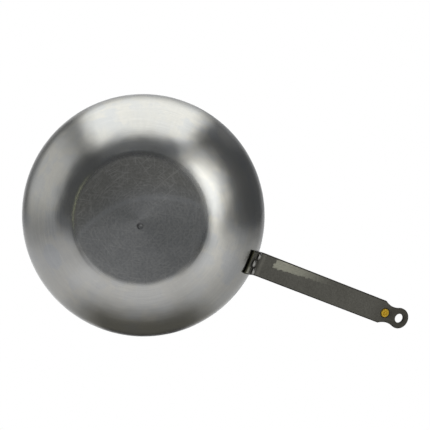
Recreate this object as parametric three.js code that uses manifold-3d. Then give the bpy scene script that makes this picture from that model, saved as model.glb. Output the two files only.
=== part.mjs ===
// A flat-bottomed wok of bare carbon steel with a riveted strip handle, in millimetres, +Z up.
// The origin is the middle of the base's underside, and the handle runs along +X.
import * as THREE from 'three';
import { mergeVertices } from 'three/addons/utils/BufferGeometryUtils.js';
import Module from 'manifold-3d';

const degrees = (angle) => THREE.MathUtils.degToRad(angle);

// Bowl, pressed and spun from one sheet
const RIM_RADIUS = 140;
const BOWL_HEIGHT = 85;
const BASE_RADIUS = 68;
const BASE_EDGE_RADIUS = 18;
const RIM_SLOPE = degrees(78);
const SHEET = 2.5;

// Handle, one bent strip: flange on the wall, bend, straight grip, hanging eye
const STRIP_WIDTH = 28.4;
const STRIP_THICKNESS = 3;
const FLANGE_BOTTOM = 28;
const FLANGE_TOP = 3.5;
const BEND_RADIUS = 16;
const GRIP_RISE = degrees(23.7);
const GRIP_LENGTH = 199;
const EYE_RADIUS = 12.7;
const EYE_HOLE_RADIUS = 5.7;
const NECK_WIDTH = 20.8;
const NECK_RADIUS = 24;

// Rivets, one low and two high, with depths below the rim
const RIVET_LOW_DEPTH = 17.5;
const RIVET_HIGH_DEPTH = 9;
const RIVET_SPACING = 18.2;
const RIVET_SHANK_RADIUS = 2.6;
const RIVET_HEAD_RADIUS = 4.8;
const RIVET_HEAD_HEIGHT = 2.6;
const RIVET_INNER_RADIUS = 5.4;
const RIVET_INNER_HEIGHT = 1.6;

// Soft plug near the eye, pushed in from the top face
const PLUG_FROM_EYE = 21.7;
const PLUG_SHANK_RADIUS = 5.1;
const PLUG_HEAD_RADIUS = 6.8;
const PLUG_HEAD_HEIGHT = 1.6;
const PLUG_STAND_OUT = 0.6;
const PLUG_DISH_RADIUS = 2.8;
const PLUG_DISH_DEPTH = 0.8;

// Gap left between pieces that seat on each other
const CLEARANCE = 0.3;

// Facets
const ROUND_STEPS = 64;
const WALL_STEPS = 9;
const EDGE_STEPS = 4;
const BEND_STEPS = 8;
const FLANGE_STEPS = 4;
const HOLE_STEPS = 20;
const HEAD_STEPS = 4;

// The wall is an arc that leaves the base edge smoothly and meets the rim at the rim's slope
const across = RIM_RADIUS - BASE_RADIUS;
const above = BOWL_HEIGHT - BASE_EDGE_RADIUS;
const WALL_RADIUS = (across ** 2 + above ** 2 - BASE_EDGE_RADIUS ** 2)
  / (2 * (across * Math.sin(RIM_SLOPE) - above * Math.cos(RIM_SLOPE) - BASE_EDGE_RADIUS));
const WALL_CENTRE = new THREE.Vector2(
  RIM_RADIUS - WALL_RADIUS * Math.sin(RIM_SLOPE),
  BOWL_HEIGHT + WALL_RADIUS * Math.cos(RIM_SLOPE),
);
const WALL_START = Math.atan2(BASE_RADIUS - WALL_CENTRE.x, WALL_CENTRE.y - BASE_EDGE_RADIUS);

// Slope of the wall's arc of the given radius, at a height
const slopeAt = (height, radius) => Math.acos((WALL_CENTRE.y - height) / radius);

// Points of an arc that a curve of the given slope follows: below the centre, or above it for a bend
function arc(centre, radius, from, to, steps) {
  return Array.from({ length: steps + 1 }, (_, i) => {
    const slope = from + (to - from) * i / steps;
    return new THREE.Vector2(centre.x + radius * Math.sin(slope), centre.y - radius * Math.cos(slope));
  });
}

// One surface of the bowl from the axis to the rim, the given depth inside the outer surface
function bowlSurface(depth) {
  const edgeCentre = new THREE.Vector2(BASE_RADIUS, BASE_EDGE_RADIUS);
  const rimSlope = slopeAt(BOWL_HEIGHT, WALL_RADIUS - depth);
  return [
    new THREE.Vector2(0, depth),
    ...arc(edgeCentre, BASE_EDGE_RADIUS - depth, 0, WALL_START, EDGE_STEPS),
    ...arc(WALL_CENTRE, WALL_RADIUS - depth, WALL_START, rimSlope, WALL_STEPS).slice(1),
  ];
}

const wasm = await Module();
wasm.setup();

// Closed geometry to a solid, without the flat triangles that a lathe leaves on its axis
function solid(geometry) {
  const bare = new THREE.BufferGeometry();
  bare.setAttribute('position', geometry.getAttribute('position').clone());
  if (geometry.index) bare.setIndex(geometry.index.clone());
  const merged = mergeVertices(bare, 1e-4);
  const corners = merged.index.array;
  const triangles = [];
  for (let i = 0; i < corners.length; i += 3) {
    const [a, b, c] = corners.slice(i, i + 3);
    if (a !== b && b !== c && c !== a) triangles.push(a, b, c);
  }
  return new wasm.Manifold(new wasm.Mesh({
    numProp: 3,
    vertProperties: new Float32Array(merged.getAttribute('position').array),
    triVerts: new Uint32Array(triangles),
  }));
}

// Solid back to a geometry with flat facets
function geometryOf(body) {
  const mesh = body.getMesh();
  const geometry = new THREE.BufferGeometry();
  geometry.setAttribute('position', new THREE.BufferAttribute(new Float32Array(mesh.vertProperties), 3));
  geometry.setIndex(new THREE.BufferAttribute(new Uint32Array(mesh.triVerts), 1));
  geometry.computeVertexNormals();
  return geometry;
}

// A turned solid about Z
const turned = (profile, steps) => new THREE.LatheGeometry(profile, steps).rotateX(Math.PI / 2);

// An outline in the XZ plane, made the given width across Y and centred there
function acrossY(outline, width) {
  const geometry = new THREE.ExtrudeGeometry(outline, { depth: width, bevelEnabled: false });
  return geometry.rotateX(Math.PI / 2).translate(0, width / 2, 0);
}

// A plain round pin along Z between two heights
function pin(radius, bottom, top, steps) {
  const geometry = new THREE.CylinderGeometry(radius, radius, top - bottom, steps);
  return geometry.rotateX(Math.PI / 2).translate(0, 0, (top + bottom) / 2);
}

// Domed profile from the given radius at a base height to the axis, with the crown at base plus rise
function dome(radius, base, rise) {
  return Array.from({ length: HEAD_STEPS + 1 }, (_, i) => {
    const turn = (Math.PI / 2) * i / HEAD_STEPS;
    return new THREE.Vector2(radius * Math.cos(turn), base + rise * Math.sin(turn));
  });
}

// Handle strip in side view: the flange follows the wall, sunk by the wall's sagitta across the strip
const FLANGE_SINK = STRIP_WIDTH ** 2 / (8 * RIM_RADIUS);
const FLANGE_RADIUS = WALL_RADIUS + CLEARANCE - FLANGE_SINK + STRIP_THICKNESS / 2;
const FLANGE_START = slopeAt(BOWL_HEIGHT - FLANGE_BOTTOM, FLANGE_RADIUS);
const FLANGE_END = slopeAt(BOWL_HEIGHT - FLANGE_TOP, FLANGE_RADIUS);
const BEND_CENTRE = new THREE.Vector2(
  WALL_CENTRE.x + (FLANGE_RADIUS + BEND_RADIUS) * Math.sin(FLANGE_END),
  WALL_CENTRE.y - (FLANGE_RADIUS + BEND_RADIUS) * Math.cos(FLANGE_END),
);
const GRIP_START = new THREE.Vector2(
  BEND_CENTRE.x - BEND_RADIUS * Math.sin(GRIP_RISE),
  BEND_CENTRE.y + BEND_RADIUS * Math.cos(GRIP_RISE),
);
const GRIP_WAY = new THREE.Vector2(Math.cos(GRIP_RISE), Math.sin(GRIP_RISE));
const GRIP_UP = new THREE.Vector2(-Math.sin(GRIP_RISE), Math.cos(GRIP_RISE));
const EYE_CENTRE = GRIP_START.clone().addScaledVector(GRIP_WAY, GRIP_LENGTH);

// Places the strip's own frame, X along the grip and Z up from it, at a distance short of the eye
function onGrip(fromEye) {
  const place = EYE_CENTRE.clone().addScaledVector(GRIP_WAY, -fromEye);
  return new THREE.Matrix4().makeRotationY(-GRIP_RISE).setPosition(place.x, 0, place.y);
}

// One face of the strip in side view, the given distance above its middle
function stripFace(offset) {
  const end = EYE_CENTRE.clone().addScaledVector(GRIP_WAY, 2 * EYE_RADIUS).addScaledVector(GRIP_UP, offset);
  return [
    ...arc(WALL_CENTRE, FLANGE_RADIUS - offset, FLANGE_START, FLANGE_END, FLANGE_STEPS),
    ...arc(BEND_CENTRE, -BEND_RADIUS - offset, FLANGE_END, GRIP_RISE, BEND_STEPS).slice(1),
    end,
  ];
}

// Strip seen along the grip's normal: straight sides, drawn in to a neck, ending in the round eye
function stripOutline(reach) {
  const half = STRIP_WIDTH / 2;
  const neckSide = NECK_WIDTH / 2 + NECK_RADIUS;
  const neckBack = Math.sqrt((EYE_RADIUS + NECK_RADIUS) ** 2 - neckSide ** 2);
  const meet = Math.atan2(neckSide, -neckBack);
  const shoulder = Math.asin((neckSide - half) / NECK_RADIUS);
  const shoulderBack = neckBack + NECK_RADIUS * Math.cos(shoulder);
  const outline = new THREE.Shape();
  outline.moveTo(-reach, -half);
  outline.lineTo(-shoulderBack, -half);
  outline.absarc(-neckBack, -neckSide, NECK_RADIUS, Math.PI - shoulder, Math.PI - meet, true);
  outline.absarc(0, 0, EYE_RADIUS, -meet, meet, false);
  outline.absarc(-neckBack, neckSide, NECK_RADIUS, meet - Math.PI, shoulder - Math.PI, true);
  outline.lineTo(-reach, half);
  return outline;
}

// Rivet places: depth below the rim and side, with the wall's normal there as the rivet's own Z
const RIVETS = [
  { name: 'rivet_lower', depth: RIVET_LOW_DEPTH, side: 0 },
  { name: 'rivet_upper_left', depth: RIVET_HIGH_DEPTH, side: RIVET_SPACING / 2 },
  { name: 'rivet_upper_right', depth: RIVET_HIGH_DEPTH, side: -RIVET_SPACING / 2 },
];

// Frame of a rivet: origin on the wall's outer surface in side view, Z outwards
function atRivet({ depth, side }) {
  const slope = slopeAt(BOWL_HEIGHT - depth, WALL_RADIUS);
  return new THREE.Matrix4().makeRotationY(Math.PI - slope).setPosition(
    WALL_CENTRE.x + WALL_RADIUS * Math.sin(slope),
    side,
    WALL_CENTRE.y - WALL_RADIUS * Math.cos(slope),
  );
}

const FLANGE_FACE = CLEARANCE - FLANGE_SINK + STRIP_THICKNESS;

// Cutter for a rivet's hole through flange and wall
function rivetHole(rivet) {
  const reach = 2 * (SHEET + STRIP_THICKNESS);
  return solid(pin(RIVET_SHANK_RADIUS + CLEARANCE, -reach, reach, HOLE_STEPS).applyMatrix4(atRivet(rivet)));
}

function bowl() {
  const shell = solid(turned([...bowlSurface(0), ...bowlSurface(SHEET).reverse()], ROUND_STEPS));
  return geometryOf(RIVETS.reduce((body, rivet) => body.subtract(rivetHole(rivet)), shell));
}

function handle() {
  const side = new THREE.Shape([
    ...stripFace(-STRIP_THICKNESS / 2),
    ...stripFace(STRIP_THICKNESS / 2).reverse(),
  ]);
  const strip = solid(acrossY(side, 2 * STRIP_WIDTH));

  const reach = RIM_RADIUS + GRIP_LENGTH;
  const outline = stripOutline(reach);
  outline.holes.push(new THREE.Path().absarc(0, 0, EYE_HOLE_RADIUS, 0, 2 * Math.PI, true));
  outline.holes.push(
    new THREE.Path().absarc(-PLUG_FROM_EYE, 0, PLUG_SHANK_RADIUS + CLEARANCE, 0, 2 * Math.PI, true),
  );
  const plan = new THREE.ExtrudeGeometry(outline, {
    depth: 2 * reach,
    bevelEnabled: false,
    curveSegments: HOLE_STEPS / 2,
  });
  const trim = solid(plan.translate(0, 0, -reach).applyMatrix4(onGrip(0)));

  const wallSpace = bowlSurface(-CLEARANCE);
  const seat = solid(turned([...wallSpace, new THREE.Vector2(0, BOWL_HEIGHT)], ROUND_STEPS));
  const body = strip.intersect(trim).subtract(seat);
  return geometryOf(RIVETS.reduce((left, rivet) => left.subtract(rivetHole(rivet)), body));
}

// Round-headed rivet, with a flatter head inside the bowl that is set against the curved wall
function rivet(place) {
  const seat = FLANGE_FACE + CLEARANCE;
  const inside = SHEET + CLEARANCE;
  const outer = [
    new THREE.Vector2(0, -inside - RIVET_INNER_HEIGHT / 2),
    new THREE.Vector2(RIVET_SHANK_RADIUS, -inside - RIVET_INNER_HEIGHT / 2),
    new THREE.Vector2(RIVET_SHANK_RADIUS, seat),
    ...dome(RIVET_HEAD_RADIUS, seat, RIVET_HEAD_HEIGHT),
  ];
  const inner = [
    new THREE.Vector2(0, -SHEET / 2),
    new THREE.Vector2(RIVET_INNER_RADIUS, -SHEET / 2),
    ...dome(RIVET_INNER_RADIUS, -inside, -RIVET_INNER_HEIGHT),
  ];
  const frame = atRivet(place);
  const wall = [...bowlSurface(-CLEARANCE), ...bowlSurface(SHEET + CLEARANCE).reverse()];
  const head = solid(turned(inner.reverse(), HOLE_STEPS).applyMatrix4(frame));
  const set = head.subtract(solid(turned(wall, ROUND_STEPS)));
  return geometryOf(set.add(solid(turned(outer, HOLE_STEPS).applyMatrix4(frame))));
}

// Soft round plug: domed head on the top face, shank through the strip, shallow dish in its end
function plug() {
  const top = STRIP_THICKNESS / 2 + CLEARANCE;
  const end = -STRIP_THICKNESS / 2 - PLUG_STAND_OUT;
  return turned([
    new THREE.Vector2(0, end + PLUG_DISH_DEPTH),
    new THREE.Vector2(PLUG_DISH_RADIUS, end),
    new THREE.Vector2(PLUG_SHANK_RADIUS, end),
    new THREE.Vector2(PLUG_SHANK_RADIUS, top),
    ...dome(PLUG_HEAD_RADIUS, top, PLUG_HEAD_HEIGHT),
  ], HOLE_STEPS).applyMatrix4(onGrip(PLUG_FROM_EYE));
}

function piece(name, geometry, color, roughness, metalness) {
  const mesh = new THREE.Mesh(geometry, new THREE.MeshStandardMaterial({ color, roughness, metalness }));
  mesh.name = name;
  return mesh;
}

const wok = new THREE.Group();
wok.add(piece('bowl', bowl(), 0xb4b5b3, 0.38, 1));
wok.add(piece('handle', handle(), 0x504d49, 0.55, 0.8));
for (const place of RIVETS) wok.add(piece(place.name, rivet(place), 0x77746e, 0.4, 1));
wok.add(piece('handle_plug', plug(), 0xd9a21b, 0.6, 0));

export default wok;
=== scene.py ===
import math

import bmesh
import bpy
from mathutils import Matrix, Vector


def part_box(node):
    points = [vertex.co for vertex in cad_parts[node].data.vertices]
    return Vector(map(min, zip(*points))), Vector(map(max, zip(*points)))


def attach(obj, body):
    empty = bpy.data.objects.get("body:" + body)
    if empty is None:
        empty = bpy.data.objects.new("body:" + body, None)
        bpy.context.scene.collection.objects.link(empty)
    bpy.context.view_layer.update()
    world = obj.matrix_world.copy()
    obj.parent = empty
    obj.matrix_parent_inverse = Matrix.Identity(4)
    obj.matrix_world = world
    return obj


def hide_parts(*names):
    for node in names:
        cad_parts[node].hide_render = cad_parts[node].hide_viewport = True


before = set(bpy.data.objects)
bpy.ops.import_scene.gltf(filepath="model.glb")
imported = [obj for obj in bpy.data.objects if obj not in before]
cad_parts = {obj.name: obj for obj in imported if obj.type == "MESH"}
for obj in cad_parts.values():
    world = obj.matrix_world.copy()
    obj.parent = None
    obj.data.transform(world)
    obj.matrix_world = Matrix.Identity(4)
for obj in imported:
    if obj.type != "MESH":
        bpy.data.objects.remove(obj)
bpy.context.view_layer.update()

# Bowl. One sheet of carbon steel, pressed and spun to shape and left bare, with a flat base, a wall
# that steepens to the rim and a plain deburred edge. The base keeps a small centre mark.
RIM_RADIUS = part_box("bowl")[1].y
BOWL_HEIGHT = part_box("bowl")[1].z
BASE_RADIUS = 0.068
EDGE_RADIUS = 0.018
RIM_SLOPE = math.radians(78)
SHEET = 0.0025
RIM_ROUND = 0.0008
MARK_PLACE = Vector((0.0032, 0.0062))
# Offset of the lighter painted spot within the painted shade of the centre mark's dent
MARK_LIGHT_SHIFT = Vector((0.0011, 0.0006))
MARK_RADIUS = 0.0040
MARK_DEPTH = 0.0005
HANDLE_LOW, HANDLE_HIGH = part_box("handle")
BOWL_STEPS = 192
FINE_RINGS = 29
FINE_RING_STEP = 0.0004
BASE_RINGS = 14
INNER_RINGS = 8
WALL_STEPS = 48
EDGE_STEPS = 10
LIP_STEPS = 6
BOWL_CREASE = math.radians(40)
MERGE_GAP = 1e-6
TOUCH = 1e-7
WIPE_CENTRE = (0.0536, 0.0728, 0)
WIPE_RADIUS = 0.112
WIPE_WAVER = 0.006
BRUSH_PITCH = 0.0009
BRUSH_RUN = 0.35
COMB_RUN = 0.05
LAP_PITCH = 0.0007
LAP_RUN = 0.12
STROKE_PITCH = 0.0008
STROKE_RUN = 0.018
STROKE_ANGLES = (28, 75, 121, 160)
BLUED_PLACE = (-0.075, 0.0777, 0.0253)
BLUED_RADII = (0.020, 0.015)
BLUED_SIZE = 0.024
PATCH_SIZE = 0.05
SPOT_SIZE = 0.006
SPOT_WAVER = 0.006
LINE_RANGE = (0.35, 0.65)
GRAIN_RANGE = (0.3, 0.7)
GRAIN_SCALE = 380.0
GRAIN_RELIEF = (0.1, 0.0001)
WAVE_SCALE = 34.0
WAVE_HEIGHT = 0.0006
RIM_BAND_WIDTH = 0.0032
WALL_ROUGHNESS = 0.18
BASE_ROUGHNESS = 0.08
BRUSHED_SHEEN = 0.55
BRUSHED_TURN = 0.25
WALL_COLOURS = ((0.525, 0.522, 0.508, 1), (0.575, 0.562, 0.532, 1))
STAIN_COLOUR = (0.50, 0.50, 0.50, 1)
BLUED_COLOUR = (0.45, 0.475, 0.525, 1)
BASE_COLOURS = ((0.45, 0.456, 0.464, 1), (0.565, 0.572, 0.58, 1))
FILM_COLOURS = ((0.36, 0.355, 0.335, 1), (0.46, 0.455, 0.435, 1))
WIPE_COLOUR = (0.62, 0.635, 0.66, 1)
SCRATCH_COLOUR = (0.76, 0.755, 0.74, 1)
# Colour of the grime and painted shade in the centre mark's dent
MARK_SHADE_COLOUR = (0.17, 0.17, 0.175, 1)
RIM_BAND_COLOUR = (0.335, 0.34, 0.35, 1)
# Colour of the painted shadow and painted reflection along the flange's lower end
FLANGE_SHADE_COLOUR = (0.05, 0.05, 0.05, 1)

# The wall's arc leaves the base edge smoothly and meets the rim at the rim's slope
across = RIM_RADIUS - BASE_RADIUS
above = BOWL_HEIGHT - EDGE_RADIUS
reach = across * math.sin(RIM_SLOPE) - above * math.cos(RIM_SLOPE) - EDGE_RADIUS
WALL_RADIUS = (across**2 + above**2 - EDGE_RADIUS**2) / (2 * reach)
WALL_CENTRE = Vector((
    RIM_RADIUS - WALL_RADIUS * math.sin(RIM_SLOPE),
    BOWL_HEIGHT + WALL_RADIUS * math.cos(RIM_SLOPE),
))
WALL_START = math.atan2(BASE_RADIUS - WALL_CENTRE.x, WALL_CENTRE.y - EDGE_RADIUS)


def slope_at(height, radius):
    """Slope of an arc about the wall's centre, where it passes a height."""
    return math.acos((WALL_CENTRE.y - height) / radius)


def along(slope):
    """Outward normal of a profile that climbs at a slope."""
    return Vector((math.sin(slope), -math.cos(slope)))


def arc(centre, radius, start, end, steps):
    """Points of an arc, named by the slope that the profile has there."""
    return [centre + radius * along(start + (end - start) * i / steps) for i in range(steps + 1)]


def node(tree, kind, inputs=None, **settings):
    """Adds a node, sets its properties, and links or sets its inputs."""
    made = tree.nodes.new(kind)
    for name, value in settings.items():
        setattr(made, name, value)
    for key, value in (inputs or {}).items():
        if isinstance(value, bpy.types.NodeSocket):
            tree.links.new(value, made.inputs[key])
        else:
            made.inputs[key].default_value = value
    return made


def maths(tree, operation, *values):
    """Output of a Math node."""
    return node(tree, "ShaderNodeMath", dict(enumerate(values)), operation=operation).outputs[0]


def ramp(tree, value, low, high, bottom=0.0, top=1.0):
    """Smooth step of a value from low to high, between bottom and top."""
    inputs = {"Value": value, "From Min": low, "From Max": high, "To Min": bottom, "To Max": top}
    return node(tree, "ShaderNodeMapRange", inputs, interpolation_type="SMOOTHSTEP").outputs[0]


def sockets(tree, inputs, outputs):
    """Names a group's inputs and outputs, and returns its two ends."""
    for name, (kind, value) in inputs.items():
        made = tree.interface.new_socket(name, in_out="INPUT", socket_type="NodeSocket" + kind)
        if value is not None:
            made.default_value = value
    for name, kind in outputs.items():
        tree.interface.new_socket(name, in_out="OUTPUT", socket_type="NodeSocket" + kind)
    return tree.nodes.new("NodeGroupInput").outputs, tree.nodes.new("NodeGroupOutput").inputs


def turned_tree():
    """Spins a profile in the XZ plane about Z, as a lathe or a spinning chuck does."""
    tree = bpy.data.node_groups.new("turned piece", "GeometryNodeTree")
    given, made = sockets(
        tree,
        {"Profile": ("Geometry", None), "Steps": ("Int", 64), "Finish": ("Material", None)},
        {"Piece": "Geometry"},
    )
    count = node(tree, "GeometryNodeAttributeDomainSize", {"Geometry": given["Profile"]})
    around = maths(tree, "ADD", given["Steps"], 1.0)
    rings = count.outputs["Point Count"]
    grid = node(tree, "GeometryNodeMeshGrid", {"Vertices X": rings, "Vertices Y": around})
    index = node(tree, "GeometryNodeInputIndex").outputs[0]
    ring = maths(tree, "FLOOR", maths(tree, "DIVIDE", index, around))
    step = maths(tree, "MODULO", index, around)
    turn = maths(tree, "DIVIDE", maths(tree, "MULTIPLY", step, 2 * math.pi), given["Steps"])
    place = node(tree, "GeometryNodeInputPosition").outputs[0]
    sample = node(
        tree,
        "GeometryNodeSampleIndex",
        {"Geometry": given["Profile"], "Index": ring},
        data_type="FLOAT_VECTOR",
    )
    tree.links.new(place, sample.inputs["Value"])
    point = node(tree, "ShaderNodeSeparateXYZ", {0: sample.outputs[0]}).outputs
    spun = node(tree, "ShaderNodeCombineXYZ", {
        "X": maths(tree, "MULTIPLY", point["X"], maths(tree, "COSINE", turn)),
        "Y": maths(tree, "MULTIPLY", point["X"], maths(tree, "SINE", turn)),
        "Z": point["Z"],
    })
    moved = node(tree, "GeometryNodeSetPosition", {
        "Geometry": grid.outputs["Mesh"],
        "Position": spun.outputs[0],
    })
    closed = node(tree, "GeometryNodeMergeByDistance", {"Geometry": moved.outputs[0], "Distance": MERGE_GAP})
    plain = node(tree, "GeometryNodeRealizeInstances", {"Geometry": closed.outputs[0]})
    done = node(tree, "GeometryNodeSetMaterial", {"Geometry": plain.outputs[0], "Material": given["Finish"]})
    tree.links.new(done.outputs[0], made["Piece"])
    return tree


def baked(name, mesh, tree, **inputs):
    """A new object with what a geometry tree makes of a mesh, as a plain mesh."""
    piece = bpy.data.objects.new(name, mesh)
    bpy.context.scene.collection.objects.link(piece)
    modifier = piece.modifiers.new("make", "NODES")
    modifier.node_group = tree
    for item in tree.interface.items_tree:
        if item.in_out == "INPUT" and item.name in inputs:
            modifier[item.identifier] = inputs[item.name]
    shaped = piece.evaluated_get(bpy.context.evaluated_depsgraph_get())
    piece.data = bpy.data.meshes.new_from_object(shaped)
    piece.modifiers.clear()
    return piece


def finish_mesh(piece, crease):
    """Merges doubled points, turns the faces outwards and smooths all but the sharp edges."""
    work = bmesh.new()
    work.from_mesh(piece.data)
    bmesh.ops.remove_doubles(work, verts=work.verts, dist=TOUCH)
    bmesh.ops.recalc_face_normals(work, faces=work.faces)
    work.to_mesh(piece.data)
    work.free()
    piece.data.shade_smooth()
    piece.data.set_sharp_from_angle(angle=crease)


def profile_mesh(name, points):
    """A profile as a chain of edges in the XZ plane."""
    mesh = bpy.data.meshes.new(name)
    chain = [(i, i + 1) for i in range(len(points) - 1)]
    mesh.from_pydata([(p.x, 0, p.y) for p in points], chain, [])
    return mesh


TURNED = turned_tree()


def cloudy_group():
    """Broad uneven patches, as steel has from pressing, scale and handling."""
    tree = bpy.data.node_groups.new("uneven patches", "ShaderNodeTree")
    given, made = sockets(
        tree,
        {"Place": ("Vector", None), "Size": ("Float", 0.03), "Softness": ("Float", 0.2)},
        {"Patches": "Float"},
    )
    scale = maths(tree, "DIVIDE", 1.0, given["Size"])
    noise = node(tree, "ShaderNodeTexNoise", {"Vector": given["Place"], "Scale": scale, "Detail": 3.0})
    low = maths(tree, "SUBTRACT", 0.5, given["Softness"])
    high = maths(tree, "ADD", 0.5, given["Softness"])
    tree.links.new(ramp(tree, noise.outputs[0], low, high), made["Patches"])
    return tree


def streak_group():
    """Fine parallel marks: a noise drawn out along one direction, and a few deeper scratches."""
    tree = bpy.data.node_groups.new("drawn streaks", "ShaderNodeTree")
    given, made = sockets(
        tree,
        {
            "Across": ("Float", 0.0), "Lengthwise": ("Vector", None), "Pitch": ("Float", 0.0005),
            "Run": ("Float", 0.05), "Scratch share": ("Float", 0.3),
        },
        {"Streaks": "Float", "Scratches": "Float"},
    )
    along_run = node(tree, "ShaderNodeVectorMath", {0: given["Lengthwise"]}, operation="SCALE")
    tree.links.new(maths(tree, "DIVIDE", 1.0, given["Run"]), along_run.inputs["Scale"])
    drawn = node(tree, "ShaderNodeSeparateXYZ", {0: along_run.outputs[0]}).outputs
    place = node(tree, "ShaderNodeCombineXYZ", {
        "X": maths(tree, "DIVIDE", given["Across"], given["Pitch"]),
        "Y": drawn["X"],
        "Z": drawn["Y"],
    }).outputs[0]
    fine = node(tree, "ShaderNodeTexNoise", {"Vector": place, "Scale": 1.0, "Detail": 2.0})
    deep = node(tree, "ShaderNodeTexNoise", {"Vector": place, "Scale": 0.7, "Detail": 3.0})
    tree.links.new(fine.outputs[0], made["Streaks"])
    edge = maths(tree, "SUBTRACT", 0.78, maths(tree, "MULTIPLY", given["Scratch share"], 0.3))
    scratch = ramp(tree, deep.outputs[0], edge, maths(tree, "ADD", edge, 0.08))
    tree.links.new(scratch, made["Scratches"])
    return tree


CLOUDY = cloudy_group()
STREAKS = streak_group()


def use(tree, group, **inputs):
    """Outputs of a shader group placed in a material."""
    placed = node(tree, "ShaderNodeGroup", node_tree=group)
    for key, value in inputs.items():
        name = key.replace("_", " ").capitalize()
        if isinstance(value, bpy.types.NodeSocket):
            tree.links.new(value, placed.inputs[name])
        else:
            placed.inputs[name].default_value = value
    return placed.outputs


def material(name):
    """A new material with its tree, its shader and the piece's own coordinates."""
    made = bpy.data.materials.new(name)
    made.use_nodes = True
    tree = made.node_tree
    return made, tree, tree.nodes["Principled BSDF"], node(tree, "ShaderNodeTexCoord").outputs


def blend_colour(tree, factor, first, second):
    """Mix of two colours by a mask."""
    mix = node(tree, "ShaderNodeMix", {"Factor": factor, 6: first, 7: second}, data_type="RGBA")
    return mix.outputs[2]


def overlay(tree, colour, mask, strength, over):
    """A colour with another laid over it at a strength, where a mask says."""
    return blend_colour(tree, maths(tree, "MULTIPLY", mask, strength), colour, over)


def stretched(tree, value, low, high):
    """A noise's middle range, stretched to nought and one."""
    inputs = {"Value": value, "From Min": low, "From Max": high}
    return node(tree, "ShaderNodeMapRange", inputs).outputs[0]


def distance_from(tree, place, point):
    """Distance of a place from a point on the bowl."""
    apart = node(tree, "ShaderNodeVectorMath", {0: place, 1: point}, operation="DISTANCE")
    return apart.outputs["Value"]


def underside(tree, coords):
    """Mask of the faces that look down, so that a mark doesn't show on both sides of the steel."""
    facing = node(tree, "ShaderNodeSeparateXYZ", {0: coords["Normal"]}).outputs["Z"]
    return ramp(tree, facing, 0.1, -0.1)


def base_colour(tree, coords, flat, scratches):
    """The base's steel: a grain, a brown film up to an old wipe mark, scratches, and in the centre mark's
    dent a dark fill that is partly grime and partly painted shade, with a lighter painted spot to one side.
    """
    grain = node(tree, "ShaderNodeTexNoise", {"Vector": flat, "Scale": GRAIN_SCALE, "Detail": 3.0}).outputs[0]
    grain = stretched(tree, grain, *GRAIN_RANGE)
    wobble = node(tree, "ShaderNodeTexNoise", {"Vector": flat, "Scale": 40.0}).outputs[0]
    reach = maths(tree, "MULTIPLY_ADD", wobble, WIPE_WAVER, distance_from(tree, flat, WIPE_CENTRE))
    film = ramp(tree, reach, WIPE_RADIUS - 0.006, WIPE_RADIUS + 0.028)
    wipe = maths(
        tree,
        "MULTIPLY",
        ramp(tree, reach, WIPE_RADIUS - 0.001, WIPE_RADIUS + 0.003),
        ramp(tree, reach, WIPE_RADIUS + 0.008, WIPE_RADIUS + 0.004),
    )
    colour = blend_colour(tree, grain, *BASE_COLOURS)
    colour = blend_colour(tree, film, colour, blend_colour(tree, grain, *FILM_COLOURS))
    colour = overlay(tree, colour, wipe, 0.48, WIPE_COLOUR)
    colour = overlay(tree, colour, scratches, 0.38, SCRATCH_COLOUR)
    # The centre mark's colour is painted shade and grime in the dent, lifted by a lighter painted spot offset
    # to the side that would catch the light
    dent_shade = ramp(tree, distance_from(tree, flat, (*MARK_PLACE, 0)), 1.1 * MARK_RADIUS, 0.75 * MARK_RADIUS)
    lit = distance_from(tree, flat, (*(MARK_PLACE + MARK_LIGHT_SHIFT), 0))
    bright = ramp(tree, lit, 0.7 * MARK_RADIUS, 0.4 * MARK_RADIUS)
    mark_shade = maths(tree, "MULTIPLY", dent_shade, maths(tree, "MULTIPLY_ADD", bright, -0.9, 1.0))
    mark_shade = maths(tree, "MULTIPLY", mark_shade, underside(tree, coords))
    return blend_colour(tree, mark_shade, colour, MARK_SHADE_COLOUR), grain


def flange_end_shade(tree, coords):
    """Painted shadow and painted reflection of the flange's end: a dark line on the outside of the wall along
    the flange's lower end.
    """
    part = node(tree, "ShaderNodeSeparateXYZ", {0: coords["Object"]}).outputs
    side = ramp(tree, maths(tree, "ABSOLUTE", part["Y"]), HANDLE_HIGH.y + 0.0002, HANDLE_HIGH.y - 0.0006)
    start = ramp(tree, part["X"], HANDLE_LOW.x - 0.0022, HANDLE_LOW.x - 0.0012)
    low = ramp(tree, part["Z"], HANDLE_LOW.z + 0.0045, HANDLE_LOW.z + 0.0035)
    line = maths(tree, "MULTIPLY", maths(tree, "MULTIPLY", side, start), low)
    return maths(tree, "MULTIPLY", line, underside(tree, coords))


def crossing_strokes(tree, flat, strokes):
    """Adds straight scratches in a few directions to the base's turned ones."""
    for angle in STROKE_ANGLES:
        aim = (math.cos(math.radians(angle)), math.sin(math.radians(angle)), 0)
        beside = node(tree, "ShaderNodeVectorMath", {0: flat, 1: aim}, operation="DOT_PRODUCT")
        crossing = use(
            tree, STREAKS, across=beside.outputs["Value"], lengthwise=flat,
            pitch=STROKE_PITCH, run=STROKE_RUN, scratch_share=0.62,
        )
        strokes = maths(tree, "MAXIMUM", strokes, crossing["Scratches"])
    return strokes


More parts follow.
